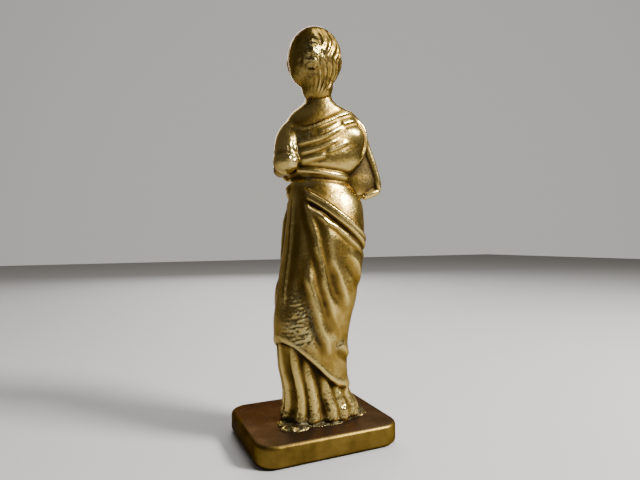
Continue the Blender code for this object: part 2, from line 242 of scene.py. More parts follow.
# ---- Felt pad and fixings
# The felt is die cut and glued into the plinth's pocket. The stud, nut and washer are zinc plated steel
# bought by the hundred, and the pin is a length of brass rod. All four are hidden once the felt is on.

FELT_GREENS = ((0.012, 0.06, 0.022, 1), (0.03, 0.11, 0.05, 1))
ZINC_GREYS = ((0.50, 0.51, 0.53, 1), (0.62, 0.62, 0.60, 1))
PIN_GOLDS = ((0.60, 0.42, 0.14, 1), (0.50, 0.34, 0.10, 1))


def plain_finish(name, colours, metallic, roughness, scale):
    """Two close colours mottled together, with a little of the same unevenness in the surface."""
    finish = Nodes(name)
    mottle = finish.noise(scale)
    finish.link(finish.mix(mottle, *colours), finish.shader.inputs["Base Color"])
    finish.shader.inputs["Metallic"].default_value = metallic
    finish.shader.inputs["Roughness"].default_value = roughness
    finish.bump(mottle, 0.4, 0.0002)
    return finish.material


felt_green = plain_finish("wool_felt", FELT_GREENS, metallic=0.0, roughness=0.95, scale=2500.0)
zinc = plain_finish("zinc_plate", ZINC_GREYS, metallic=1.0, roughness=0.35, scale=900.0)
pin_brass = plain_finish("pin_brass", PIN_GOLDS, metallic=1.0, roughness=0.3, scale=700.0)
for node, finish in (("felt_pad", felt_green), ("threaded_stud", zinc), ("flat_washer", zinc),
                     ("hex_nut", zinc), ("locating_pin", pin_brass)):
    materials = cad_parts[node].data.materials
    materials.clear()
    materials.append(finish)


# ---- Robe and upper arms
# One brass casting: neck and bare upper back, bodice drawn over the right shoulder, girdle, mantle with its
# rolled upper edge, pleated skirt and some ground. The folds are relief over smooth sections, the arms are
# added in clay, and the whole is fused and chased smooth. Its small hollows are dark with patina; painted
# shade darkens the broad fold valleys and the inside of the sleeve, painted shadow the ground under the hem,
# and the skirt pleats carry a painted highlight.

AROUND = 240
UP = 300
ROBE_TOP = 121.0
ROBE_VOXEL = 0.34 * MM
ROBE_SQUARENESS = 2.3
MM_PER_DEGREE = 0.23
# Heights in mm behind her, and how much higher each lies at her left side than behind
MANTLE_TOP, MANTLE_RISE = 76.7, 10.0
GIRDLE, GIRDLE_RISE = 88.6, 0.9

# Height, then centre x and y, half width, and half depth behind and in front (all mm)
ROBE_SECTIONS = (
    (7.0, -2.8, 1.5, 13.2, 10.8, 10.6),
    (11.0, -2.7, 1.5, 12.6, 10.5, 10.4),
    (15.4, -1.8, 1.5, 11.4, 10.1, 10.0),
    (19.0, -1.1, 1.5, 11.1, 10.0, 10.0),
    (25.7, -0.2, 1.4, 11.7, 10.0, 10.2),
    (32.5, 0.1, 1.2, 12.4, 10.3, 10.6),
    (39.4, -0.4, 1.0, 13.2, 10.6, 10.9),
    (46.0, -1.8, 1.0, 13.8, 10.8, 10.9),
    (53.0, -2.9, 1.0, 14.0, 10.9, 10.9),
    (60.0, -4.2, 1.1, 14.3, 11.0, 10.8),
    (66.7, -4.9, 1.1, 14.0, 11.0, 10.6),
    (73.6, -5.4, 1.0, 13.7, 10.5, 10.2),
    (80.4, -5.6, 0.6, 12.8, 9.4, 9.4),
    (85.0, -4.4, 0.4, 10.9, 8.0, 8.4),
    (88.2, -3.5, 0.3, 10.2, 7.6, 8.0),
    (90.4, -3.9, 0.2, 12.0, 8.3, 8.6),
    (93.5, -4.6, 0.2, 14.3, 8.9, 9.4),
    (98.5, -5.3, 0.3, 15.7, 8.9, 9.8),
    (103.0, -6.0, 0.5, 15.6, 8.2, 8.9),
    (107.0, -5.9, 0.8, 14.4, 6.9, 6.8),
    (109.6, -5.5, 1.0, 12.2, 6.2, 5.9),
    (111.4, -4.9, 1.1, 9.4, 5.8, 5.5),
    (113.0, -3.9, 1.1, 6.6, 5.5, 5.3),
    (115.0, -3.3, 1.1, 5.1, 5.0, 4.9),
    (117.0, -3.2, 1.1, 4.85, 4.8, 4.7),
    (121.0, -2.8, 1.0, 4.85, 4.8, 4.7),
)

# Angle round the robe (0 is straight behind, 90 is her left side), then height in mm
BODICE_EDGE = (
    (-180, 104.0), (-150, 106.4), (-120, 108.8), (-90, 110.6), (-60, 111.0), (-28, 109.9), (-8, 108.3),
    (9, 106.3), (31, 103.8), (66, 103.2), (100, 102.0), (130, 101.2), (155, 102.0), (180, 104.0),
)
MANTLE_HEM = (
    (-180, 24.0), (-120, 18.0), (-60, 17.2), (-36, 18.3), (-22, 19.2), (-10, 21.0), (11, 25.6),
    (28, 29.2), (40, 31.6), (60, 33.4), (100, 32.6), (140, 28.6), (180, 24.0),
)
# How far the mantle stands off the skirt along its hem, by angle
HEM_STEP = (
    (-180, 0.9), (-60, 0.6), (-30, 0.5), (-14, 1.2), (0, 1.7), (36, 1.6), (52, 0.8), (75, 0.6), (120, 0.8),
    (180, 0.9),
)
SKIRT_PLEATS = (84, 49, 28, -2, -21, -46, -68, -92, -117, -141, -164, 172, 149, 128, 106)

# Each fold is a path of (angle, height), then its height, its steep lower side and its gentle upper side
MANTLE_FOLDS = (
    (((47, 82), (43, 77), (31, 69), (26, 64), (17, 58), (11, 53), (2, 48), (-11, 42), (-27, 36)),
     1.1, 1.7, 3.8),
    (((34, 79), (24, 75), (17, 71), (10, 65), (4, 60), (-8, 55), (-25, 48), (-42, 43)), 1.1, 2.0, 5.4),
    (((38, 62), (32, 54), (24, 49), (16, 44), (7, 39), (-4, 34), (-13, 28)), 1.6, 2.0, 5.0),
    (((10, 73), (-3, 70.6), (-27, 66.6), (-56, 63)), 0.6, 1.4, 2.4),
    (((-14, 64), (-44, 57), (-70, 52), (-96, 50)), 0.5, 2.0, 5.0),
    (((-26, 33), (-46, 30), (-70, 27)), 0.8, 1.8, 3.6),
    (((74, 82), (71, 73), (69, 63), (68, 53), (64, 43)), 0.7, 1.0, 1.2),
)
BODICE_FOLDS = (
    (((62, 97), (33, 98.7), (17, 100.2), (0, 103), (-16, 106)), 0.5, 1.0, 2.0),
    (((50, 94.5), (25, 96.2), (9, 98), (-8, 100.4)), 0.36, 0.9, 1.6),
    (((44, 92.3), (23, 93.6), (8, 94.7)), 0.38, 0.8, 1.5),
    (((10, 95.7), (-7, 97.7), (-20, 99.6)), 0.35, 0.8, 1.6),
    (((24, 101.5), (6, 104.0), (-12, 107.2)), 0.3, 0.8, 1.4),
    (((-8, 105.2), (-22, 106.6), (-38, 107.6)), 0.6, 0.9, 1.6),
    (((-44, 109), (-52, 105), (-56, 99), (-52, 93)), 0.7, 1.1, 2.2),
)
# Folds of the front, where angles run on from 90 at her left through 180 in front to 270 at her right
FRONT_FOLDS = (
    (((110, 80), (121, 71), (138, 61), (166, 52), (200, 45), (236, 42)), 1.3, 2.0, 5.0),
    (((112, 72), (126, 60), (146, 50), (176, 41), (214, 34)), 1.4, 2.0, 5.0),
    (((128, 84), (150, 76), (180, 68), (214, 62), (250, 59)), 1.3, 1.8, 4.4),
    (((116, 56), (130, 46), (152, 38), (178, 31)), 1.2, 1.8, 4.0),
    (((228, 36), (214, 30), (200, 25)), 0.8, 1.6, 3.0),
    (((206, 91), (214, 98), (218, 104)), 0.6, 1.2, 2.0),
    (((190, 91), (186, 96), (178, 101)), 0.6, 1.0, 1.8),
    (((168, 91), (160, 95), (146, 99)), 0.6, 1.0, 1.8),
    (((120, 99.5), (150, 98), (180, 99.5), (212, 103.5)), 0.5, 1.0, 1.8),
)
# Spots (x, y, z, radius in mm) where the casting came out rough, and single pits in it
ROUGH_SPOTS = (
    (9.4, 9.2, 47.5, 2.6), (7.0, 11.0, 43.0, 3.2), (9.2, 9.6, 38.5, 3.4), (6.0, 11.4, 36.5, 3.2),
    (8.6, 9.8, 33.8, 2.4), (-6.0, 11.4, 32.4, 1.5), (-3.2, 12.2, 35.0, 1.0), (3.9, 7.0, 85.6, 1.8),
    (8.6, 8.0, 96.4, 2.2), (8.8, 8.0, 92.8, 2.0), (6.4, 8.0, 100.2, 1.8), (3.6, 8.4, 101.0, 1.3),
)
PITS = (
    (7.2, 11.2, 37.0, 0.9), (-6.2, 11.0, 17.4, 0.8), (-7.0, 11.0, 12.8, 0.8), (-5.6, 11.6, 32.6, 0.8),
    (5.4, 11.6, 34.6, 0.7), (9.4, 9.4, 41.6, 0.7),
)
# Spots that are dressed smooth, the filed patch on her left elbow, and the sleeve's hollow by her right arm
SMOOTH_SPOTS = (
    (6.0, 3.0, 107.0, 4.0), (8.0, 5.0, 103.5, 3.0), (-17.0, 2.0, 108.0, 2.5), (-5.5, -9.0, 98.0, 6.5),
)
ELBOW_SPOTS = ((8.8, 8.0, 96.6, 2.4), (9.0, 8.0, 93.0, 2.2), (8.0, 8.0, 99.0, 1.6))
SLEEVE_SPOTS = ((-20.5, 3.2, 92.0, 4.0), (-22.0, 3.2, 87.0, 4.5))

# Rolls of clay are paths of (x, y, z, radius) and balls are (x, y, z, radius or three radii), all in mm
LEFT_ARM = ((3.6, 0.9, 106.3, 3.3), (7.4, 1.6, 101.6, 4.1), (9.0, 3.0, 96.8, 4.3), (9.3, 3.6, 92.2, 4.3))
LEFT_ELBOW = (9.3, 3.3, 92.7, 4.5, 5.0, 4.5)
RIGHT_ARM = (
    (-16.6, 1.0, 108.6, 1.6), (-19.6, 1.0, 104.0, 1.9), (-22.1, 1.0, 98.6, 1.7), (-24.8, 1.0, 92.0, 1.6),
    (-26.5, 1.0, 86.4, 1.5), (-27.0, 1.0, 84.2, 1.2),
)
RIGHT_CUFF = ((-27.1, 1.0, 84.3, 1.1), (-24.4, 0.8, 83.4, 1.4), (-20.4, 0.5, 82.1, 1.5))
RIGHT_SLEEVE = (
    (-15.5, 0.4, 107.0, 3.0), (-18.4, 0.2, 99.0, 5.0), (-19.8, 0.0, 91.0, 6.8), (-20.0, 0.1, 87.0, 7.0),
    (-20.9, 0.2, 83.0, 5.4),
)
SLEEVE_THICKNESS = 0.32
RIGHT_ELBOW = (-22.6, -1.4, 85.6, 3.4, 3.2, 3.6)
GROUND_LUMPS = (
    (-2.6, 1.4, 7.2, 13.2, 10.9, 0.7), (12.4, 9.2, 7.2, 1.8, 1.6, 1.0), (10.0, 10.8, 7.2, 1.8, 1.5, 1.1),
    (-14.6, 7.2, 7.2, 2.0, 1.8, 1.0), (-17.0, 4.6, 7.2, 1.5, 1.6, 0.7), (-16.0, 0.6, 7.2, 1.6, 2.4, 0.8),
    (11.6, 5.6, 7.2, 2.2, 4.0, 0.9), (8.6, 8.4, 7.2, 5.0, 4.4, 1.1), (-14.0, 4.8, 7.2, 4.4, 4.2, 1.0),
)
FEET = ((-6.6, -9.0, 7.6, 3.0, 3.2, 2.2), (2.0, -9.4, 7.6, 3.0, 3.2, 2.2))
TOE_MIDDLES = ((-7.0, -10.6), (2.6, -11.2))
TOE_HEIGHT = 8.2
TOE_RADII = (0.72, 1.5, 0.95)
BREAST_SIDES = (-9.8, -1.2)
BREAST_PLACE = (-4.6, 97.8)
BREAST_RADII = (5.0, 5.6, 4.8)


def through(heights, knots):
    """Values at some heights on smooth curves through knots of (height, value, value...)."""
    table = np.array(knots, float)
    z, values = table[:, 0], table[:, 1:]
    slopes = np.gradient(values, z, axis=0)
    i = np.clip(np.searchsorted(z, heights) - 1, 0, len(z) - 2)
    span = (z[i + 1] - z[i])[:, None]
    t = np.clip((heights - z[i])[:, None] / span, 0, 1)
    return ((1 + 2 * t) * (1 - t) ** 2 * values[i] + t * (1 - t) ** 2 * span * slopes[i]
            + t * t * (3 - 2 * t) * values[i + 1] + t * t * (t - 1) * span * slopes[i + 1])


def ease(x):
    """0 to 1 smoothly as x goes from 0 to 1."""
    x = np.clip(x, 0.0, 1.0)
    return x * x * (3 - 2 * x)


def ridge(x, width):
    return np.exp(-(x / width) ** 2)


def sine(degrees):
    return np.sin(np.radians(degrees))


def fold(angle, z, path, height, steep, gentle):
    """A fold of cloth along a path of (angle, height): steep on its lower side, gentle on its upper side."""
    points = np.array([(-a * MM_PER_DEGREE, h) for a, h in path], float)
    steps = np.linspace(0, len(points) - 1, 6 * (len(points) - 1) + 1)
    line = through(steps, np.column_stack([np.arange(len(points)), points]))
    x = -angle * MM_PER_DEGREE
    nearest = np.full(x.shape, 1e9)
    side = np.zeros(x.shape)
    share = np.zeros(x.shape)
    for k, (a, b) in enumerate(zip(line, line[1:])):
        dx, dz = b - a
        t = np.clip(((x - a[0]) * dx + (z - a[1]) * dz) / (dx * dx + dz * dz), 0, 1)
        px, pz = x - (a[0] + t * dx), z - (a[1] + t * dz)
        far = np.hypot(px, pz)
        closer = far < nearest
        nearest = np.where(closer, far, nearest)
        side = np.where(closer, dx * pz - dz * px, side)
        share = np.where(closer, (k + t) / (len(line) - 1), share)
    side = side * np.sign(line[-1][0] - line[0][0] + 1e-9)
    width = np.where(side > 0, gentle, steep)
    fade = ease(share / 0.2) * ease((1 - share) / 0.25)
    crest = np.clip(1 - nearest / width, 0, 1) ** 1.4
    hollow = ridge(nearest - steep * 1.4, steep * 0.6) * (side < 0)
    return height * fade * (crest - 0.35 * hollow)


def robe_relief(angle, z):
    """How far the cloth stands out from the body's smooth sections, in mm."""
    relief = np.zeros(angle.shape)
    front = angle % 360
    top = MANTLE_TOP + MANTLE_RISE * sine(angle)
    hem = through(angle, MANTLE_HEM)[:, 0]

    # Skirt under the mantle: upright pleats, deeper and more spread towards the floor
    skirt = ease((hem - z) / 0.6)
    relief -= skirt * (through(angle, HEM_STEP)[:, 0] + 0.5)
    drop = ease((hem - z) / 10)
    for pleat in SKIRT_PLEATS:
        turn = (angle - pleat + 180) % 360 - 180
        relief += skirt * (0.8 + 0.9 * drop) * ridge(turn, 7.5 + 1.5 * drop)
    relief += 0.7 * ease((11.5 - z) / 3.5) * ridge(angle - 70, 60) - 0.7 * ease((8.5 - z) / 0.5)

    # Mantle: a turned lower edge and folds that fall from the left hip to the right ankle
    mantle = ease((z - hem) / 0.5) * ease((top - 3.5 - z) / 1.2)
    relief += ease((z - hem) / 0.5) * 0.35 * ridge(z - hem - 1.2, 1.4)
    for path, height, steep, gentle in MANTLE_FOLDS:
        relief += mantle * fold(angle, z, path, height, steep, gentle)
    relief -= 0.5 * ridge(angle - 58, 9) * ridge(z - 66, 16)
    relief += 1.3 * ridge((front - 152) * MM_PER_DEGREE, 5.0) * ridge(z - 45, 8.0)

    # Rolled upper edge of the mantle, lost in the upright fold over her left hip
    roll = 1 - ease((angle - 38) / 14) * ease((118 - angle) / 16)
    roll = roll * (1 - 0.5 * ridge(angle + 62, 30))
    relief += roll * 1.15 * ease((top - z) / 0.7) * ease((z - top + 4.3) / 1.0)
    relief += roll * 0.5 * ridge(z - top + 0.9, 0.6)
    relief -= roll * (0.9 - 0.5 * ridge(angle - 34, 16)) * ridge(z - top + 4.9, 0.9)
    relief += roll * 0.35 * ridge(z - top + 6.6, 1.1)

    # Girdle, with the bodice hanging a little over it
    girdle = GIRDLE + GIRDLE_RISE * sine(angle)
    relief += 0.8 * ridge(z - girdle, 0.85) - 0.5 * ridge(z - girdle + 2.0, 0.9)
    relief -= 0.5 * ridge(z - girdle - 1.6, 0.6)
    for path, height, steep, gentle in BODICE_FOLDS:
        relief += fold(angle, z, path, height, steep, gentle)
    for path, height, steep, gentle in FRONT_FOLDS:
        relief += fold(front, z, path, height, steep, gentle)
    relief += 0.7 * ridge((angle + 32) * MM_PER_DEGREE, 3.2) * ridge(z - 103, 2.8)

    # Upper edge of the bodice, with bare skin above it
    edge = through(angle, BODICE_EDGE)[:, 0]
    return relief + 0.55 * ridge(z - edge, 0.6) - 0.55 * ease((z - edge) / 0.8)


def ball(bm, x, y, z, *radii):
    """A ball of modelling clay, in mm, with one radius or three."""
    made = bmesh.ops.create_uvsphere(bm, u_segments=24, v_segments=16, radius=MM)["verts"]
    bmesh.ops.scale(bm, verts=made, vec=radii if len(radii) == 3 else radii * 3)
    bmesh.ops.translate(bm, verts=made, vec=Vector((x, y, z)) * MM)


def limb(bm, path, thick=1.0, facing=(0.0, 1.0, 0.0)):
    """A round-ended roll of clay along a path of (x, y, z, radius) in mm, thinned along one direction."""
    made = bmesh.ops.create_uvsphere(bm, u_segments=20, v_segments=40, radius=1.0)["verts"]
    place = np.array([v.co for v in made])
    knots = np.array(path, float)
    steps = np.linalg.norm(np.diff(knots[:, :3], axis=0), axis=1)
    reach = np.concatenate([[0.0], np.cumsum(steps)])
    table = np.column_stack([reach, knots])
    t = reach[-1] * (place[:, 2] + 1) / 2
    line = through(t, table)
    ahead = (through(t + 0.02, table) - through(t - 0.02, table))[:, :3]
    ahead /= np.linalg.norm(ahead, axis=1)[:, None]
    wide = np.cross(ahead, facing)
    wide /= np.linalg.norm(wide, axis=1)[:, None]
    deep = np.cross(wide, ahead)
    flat = place[:, :2] / np.maximum(np.linalg.norm(place[:, :2], axis=1), 1e-9)[:, None]
    radius = line[:, 3] * (1 - np.minimum(np.abs(place[:, 2]), 1) ** 6) ** (1 / 6)
    spot = line[:, :3] + radius[:, None] * (flat[:, :1] * wide + thick * flat[:, 1:] * deep)
    for vertex, (x, y, z) in zip(made, spot * MM):
        vertex.co = (x, y, z)


def fuse(bm, name, voxel):
    """The clay as one skin."""
    obj = object_from(bm, name)
    remesh = obj.modifiers.new("skin", "REMESH")
    remesh.mode = "VOXEL"
    remesh.voxel_size = voxel
    settle(obj)
    return obj


class Skin:
    """A fused mesh's points in mm, worked on as a whole."""

    def __init__(self, obj):
        self.mesh = obj.data
        ends = np.zeros(len(self.mesh.edges) * 2, np.int64)
        self.mesh.edges.foreach_get("vertices", ends)
        self.first, self.second = ends.reshape(-1, 2).T
        self.total = len(self.mesh.vertices)
        self.count = (np.bincount(self.first, minlength=self.total)
                      + np.bincount(self.second, minlength=self.total))[:, None]
        self.places = self.read("co") / MM

    def read(self, what):
        found = np.zeros(self.total * 3)
        self.mesh.vertices.foreach_get(what, found)
        return found.reshape(-1, 3)

    def write(self):
        self.mesh.vertices.foreach_set("co", (self.places * MM).ravel())
        self.mesh.update()

    def around(self, values):
        """The mean of each point's neighbours."""
        sums = [np.bincount(self.first, column[self.second], self.total)
                + np.bincount(self.second, column[self.first], self.total) for column in values.T]
        return np.column_stack(sums) / self.count

    def near(self, spots):
        """1 at the middle of each spot of (x, y, z, radius), falling to 0 outside it."""
        strength = np.zeros(self.total)
        for x, y, z, radius in spots:
            far = np.linalg.norm(self.places - (x, y, z), axis=1)
            strength = np.maximum(strength, ridge(far, radius))
        return strength

    def relax(self, turns, strength=0.5):
        strength = np.broadcast_to(strength, self.total)[:, None]
        for _ in range(turns):
            self.places += strength * (self.around(self.places) - self.places)
        self.write()

    def swell(self, amount):
        """Moves each point out along its normal by an amount in mm."""
        self.places += self.read("normal") * amount[:, None]
        self.write()

    def grain(self, size, seed=0.0):
        """Noise from -1 to 1 with lumps of about this size in mm."""
        return np.array([noise.noise(Vector(p) / size + Vector((seed, 0, 0))) for p in self.places])

    def mark(self, name, values):
        attribute = self.mesh.attributes.new(name, "FLOAT", "POINT")
        attribute.data.foreach_set("value", np.clip(values, 0, 1).astype(np.float32))

    def hollows(self, turns, reach):
        """How far each point lies below the surface round it: 0.5 when level, 1 when this far down."""
        even = self.places.copy()
        for _ in range(turns):
            even = 0.5 * (even + self.around(even))
        depth = ((even - self.places) * self.read("normal")).sum(axis=1)
        return 0.5 + depth / (2 * reach)


clay = bmesh.new()
limb(clay, LEFT_ARM)
ball(clay, *LEFT_ELBOW)
limb(clay, RIGHT_ARM)
limb(clay, RIGHT_CUFF)
limb(clay, RIGHT_SLEEVE, SLEEVE_THICKNESS)
ball(clay, *RIGHT_ELBOW)
for lump in GROUND_LUMPS + FEET:
    ball(clay, *lump)
for x, y in TOE_MIDDLES:
    for toe in range(5):
        ball(clay, x - 2.4 + 1.2 * toe, y - 1.1 + 0.3 * abs(toe - 2), TOE_HEIGHT, *TOE_RADII)
for x in BREAST_SIDES:
    ball(clay, x, *BREAST_PLACE, *BREAST_RADII)
clay_mesh = bpy.data.meshes.new("clay")
clay.to_mesh(clay_mesh)
clay.free()

bm = bmesh.new()
bmesh.ops.create_cone(bm, cap_ends=True, segments=AROUND, radius1=1.0, radius2=1.0, depth=1.0)
upright = [e for e in bm.edges if abs(e.verts[0].co.z - e.verts[1].co.z) > 0.5]
bmesh.ops.subdivide_edges(bm, edges=upright, cuts=UP - 1, use_grid_fill=True)
place = np.array([v.co for v in bm.verts])
across, along = place[:, 0], place[:, 1]
robe_bottom = slab_high.z / MM - 0.2
z = robe_bottom + (place[:, 2] + 0.5) * (ROBE_TOP - robe_bottom)
section = through(z, ROBE_SECTIONS)
half_depth = np.where(along > 0, section[:, 3], section[:, 4])
square = (np.abs(across) ** ROBE_SQUARENESS + np.abs(along) ** ROBE_SQUARENESS) ** (-1 / ROBE_SQUARENESS)
outward = np.column_stack([across / section[:, 2], along / half_depth])
outward /= np.linalg.norm(outward, axis=1)[:, None]
relief = robe_relief(np.degrees(np.arctan2(across, along)), z)
x = section[:, 0] + across * square * section[:, 2] + outward[:, 0] * relief
y = section[:, 1] + along * square * half_depth + outward[:, 1] * relief
for vertex, px, py, pz in zip(bm.verts, x, y, z):
    vertex.co = (px * MM, py * MM, pz * MM)
bm.from_mesh(clay_mesh)
robe = fuse(bm, "robe", ROBE_VOXEL)

# The figure is sawn off level with the top of the plinth
bm = bmesh.new()
bm.from_mesh(robe.data)
bmesh.ops.bisect_plane(bm, geom=bm.verts[:] + bm.edges[:] + bm.faces[:], plane_co=(0, 0, slab_high.z),
                       plane_no=(0, 0, 1), clear_inner=True)
bmesh.ops.holes_fill(bm, edges=[e for e in bm.edges if e.is_boundary], sides=0)
bm.to_mesh(robe.data)
bm.free()

# Chasing: shoulders and chest are smoothed, the whole is made a little uneven, and rough spots are broken up
skin = Skin(robe)
skin.relax(1)
skin.relax(24, 0.6 * skin.near(SMOOTH_SPOTS))
skin.swell(0.10 * skin.grain(5.0))
# Patina in the small hollows (26 turns), plus painted shade that darkens the broad fold valleys (150 turns)
shade = skin.hollows(26, 0.5) + skin.hollows(150, 1.3) - 0.5
x, y, z = skin.places.T
section = through(z, ROBE_SECTIONS)
angle = np.degrees(np.arctan2((x - section[:, 0]) / section[:, 2], (y - section[:, 1]) / section[:, 3]))
rim = ridge(angle - 71, 4.5) * ease((z - 42) / 6) * ease((84 - z) / 4)
rough = skin.near(ROUGH_SPOTS)
elbow = skin.near(ELBOW_SPOTS)
low = ease((10.5 - z) / 2.0) * ease((y + 10.4) / 1.2)
skirt = ease((24.0 - z) / 8.0)
ribs = rough * ease((52 - z) / 4) * sine(360 * (z + 0.25 * x) / 1.3)
skin.swell((0.15 * rough + 0.16 * rim + 0.20 * low + 0.06 * skirt + 0.03) * skin.grain(0.8)
           + (0.10 * rough + 0.10 * rim + 0.06 * low) * skin.grain(0.45, 9.0) + 0.05 * ribs
           + elbow * (0.42 * skin.grain(1.2, 3.0) + 0.12 * skin.grain(0.5, 7.0)))
skin.swell(-0.9 * skin.near(PITS))

# Where it is dark: patina in the small hollows, painted shade in the broad fold valleys and inside the sleeve,
# and painted shadow on the ground beside the hem and at the foot
# Painted shade inside the right sleeve's recess; its share of the rough mark is verdigris
sleeve = skin.near(SLEEVE_SPOTS)
# Painted shadow on the ground beside the hem; the mark below also darkens everything under 8.3 mm as painted
# shadow
beside = ease((np.hypot((x + 2.8) / 13.2, (y - 1.5) / 10.8) - 0.98) / 0.06)
painted_hem_shadow = beside * ease((9.4 - z) / 0.6) * ease(y + 8.0)
cracks = 0.2 * (skin.hollows(5, 0.15) - 0.5)
# Painted highlight that lifts the lower skirt towards gold, with painted shade deepening its pleat valleys
pleat_highlight_and_shade = skirt * (0.7 * (shade - 0.5) - 0.24)
skin.mark("hollow", shade - 0.10 * rough + cracks + pleat_highlight_and_shade - 0.15 * rim + 0.40 * sleeve + 0.55 * painted_hem_shadow
          + 0.35 * ease((8.3 - z) / 0.5))
skin.mark("rough", rough + 0.3 * low + 0.2 * rim + 0.12 * sleeve)

CAST_GOLD = (0.50, 0.37, 0.120, 1.0)
CAST_MID = (0.205, 0.128, 0.026, 1.0)
CAST_DARK = (0.034, 0.019, 0.005, 1.0)
VERDIGRIS = (0.33, 0.34, 0.20, 1.0)
EDGE_TINT = (0.55, 0.49, 0.42, 1.0)
CAST_ROUGHNESS = 0.18
CAST_GRAIN = 0.11
MOTTLE = 0.35
# How hollow a place is before it also turns dull, and how fast it does
DULL_FROM, DULLING = 0.45, 0.8


def cast_brass():
    """Rubbed gold on the crests, near black in the hollows, verdigris in the rough spots; the hollow mark
    holds patina, painted shade and a painted highlight.
    """
    finish = Nodes("cast_brass")
    hollow = finish.add("ShaderNodeAttribute", attribute_name="hollow").outputs["Fac"]
    rough = finish.add("ShaderNodeAttribute", attribute_name="rough").outputs["Fac"]
    mottle = finish.noise(220.0)
    fine = finish.noise(1400.0, 6.0)
    shift = finish.maths("MULTIPLY", finish.maths("SUBTRACT", mottle, 0.5), MOTTLE)
    level = finish.maths("ADD", hollow, shift)
    # Gold to near black along the hollow mark: patina, painted shade and painted shadow darken, the painted
    # pleat highlight lightens
    colour = finish.ramp(level, ((0.24, CAST_GOLD), (0.50, CAST_MID), (0.82, CAST_DARK)))
    stain = finish.maths("MULTIPLY", rough, finish.ramp(fine, ((0.42, BLACK), (0.62, WHITE))))
    colour = finish.mix(finish.maths("MULTIPLY", stain, 0.8), colour, VERDIGRIS)
    finish.link(colour, finish.shader.inputs["Base Color"])
    finish.shader.inputs["Metallic"].default_value = 1.0
    finish.shader.inputs["Specular Tint"].default_value = EDGE_TINT
    depth = finish.maths("MAXIMUM", finish.maths("SUBTRACT", level, DULL_FROM), 0.0)
    dull = finish.maths("ADD", finish.maths("MULTIPLY", depth, DULLING), CAST_ROUGHNESS)
    dull = finish.maths("ADD", dull, finish.maths("MULTIPLY", fine, CAST_GRAIN))
    finish.link(dull, finish.shader.inputs["Roughness"])
    finish.bump(finish.maths("ADD", fine, finish.noise(600.0, 3.0)), 0.30, 0.00014)
    return finish.material


brass = cast_brass()


def brass_piece(obj, node):
    """One casting of the figure, in the place of its plain solid."""
    obj.data.shade_smooth()
    obj.data.materials.append(brass)
    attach(obj, "root")
    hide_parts(node)


brass_piece(robe, "robe_body")


# ---- Head
# Cast by itself, with a spigot that goes down inside the body's neck: centre-parted hair drawn back over the
# ears to a small rough bun, and a plain ideal face turned to her right. The chaser cut the locks with a
# tracing tool.

HEAD_VOXEL = 0.19 * MM
HEAD_TURN = math.radians(-22)
HEAD_PLACE = Vector((-1.9, 0.9, 116.7))
NECK_SHIFT = -1.45

# In this section, lengths are in mm from HEAD_PLACE, in the neck level with the chin, with the face towards -y
SKULL = (
    (0, 0.0, 12.6, 8.0, 9.3, 9.1), (0, 1.2, 11.4, 9.2, 9.4, 10.8), (0, 2.0, 7.6, 8.5, 6.6, 6.8),
    (0, -3.2, 8.4, 6.5, 6.0, 7.2), (0, -3.6, 4.6, 4.9, 4.9, 4.0), (0, -6.2, 2.4, 2.6, 2.1, 2.0),
)
BROW = ((0.7, -8.7, 12.6, 0.55), (2.6, -8.5, 13.3, 0.55), (4.8, -6.9, 12.7, 0.45))
NOSE = ((0, -8.3, 13.2, 0.9), (0, -9.1, 10.8, 0.95), (0, -9.75, 8.6, 1.15), (0, -9.9, 7.3, 1.15))
NOSTRIL = ((0.5, -9.3, 7.5, 0.9), (1.1, -8.9, 7.25, 0.75))
EAR_RIM = (
    (8.0, -1.9, 10.4, 0.5), (8.9, -0.7, 11.6, 0.55), (9.0, 0.7, 10.0, 0.5), (8.2, -0.2, 7.6, 0.6),
    (7.7, -1.5, 6.6, 0.5),
)
EAR_HOLLOW = ((7.5, -1.2, 10.2, 0.8), (7.8, -0.6, 8.0, 0.8))
BUN = (0.9, 9.3, 10.0, 3.5, 2.9, 4.8)
# Each waved lock's distance behind and above the first, and its thickness
LOCKS = ((0.0, 0.0, 1.25), (1.9, 1.2, 1.3))
# Height, and how far back the hair starts there
HAIRLINE = (
    (-12, 6.0), (-1, 4.4), (3, 3.2), (6, 1.8), (9, -1.6), (12, -3.6), (15, -5.0), (18.4, -6.6),
    (20.6, -16.0),
)
STRANDS = 27
# Spots round the join with the neck, and the chin, that are dressed smooth
NECK_SPOTS = (
    (0, 8.0, 1.5, 3.0), (3.5, 6.5, 1.0, 3.0), (-3.5, 6.5, 1.0, 3.0), (0, -7.4, 1.6, 1.6),
    (5.6, 2.0, -0.5, 3.0), (-5.6, 2.0, -0.5, 3.0), (0, 6.0, -2.0, 3.0),
)
BUN_SPOT = (0.9, 11.0, 10.0, 4.0)


def both_sides(bm, path, **settings):
    for side in (1, -1):
        limb(bm, [(side * x, y, z, r) for x, y, z, r in path], **settings)


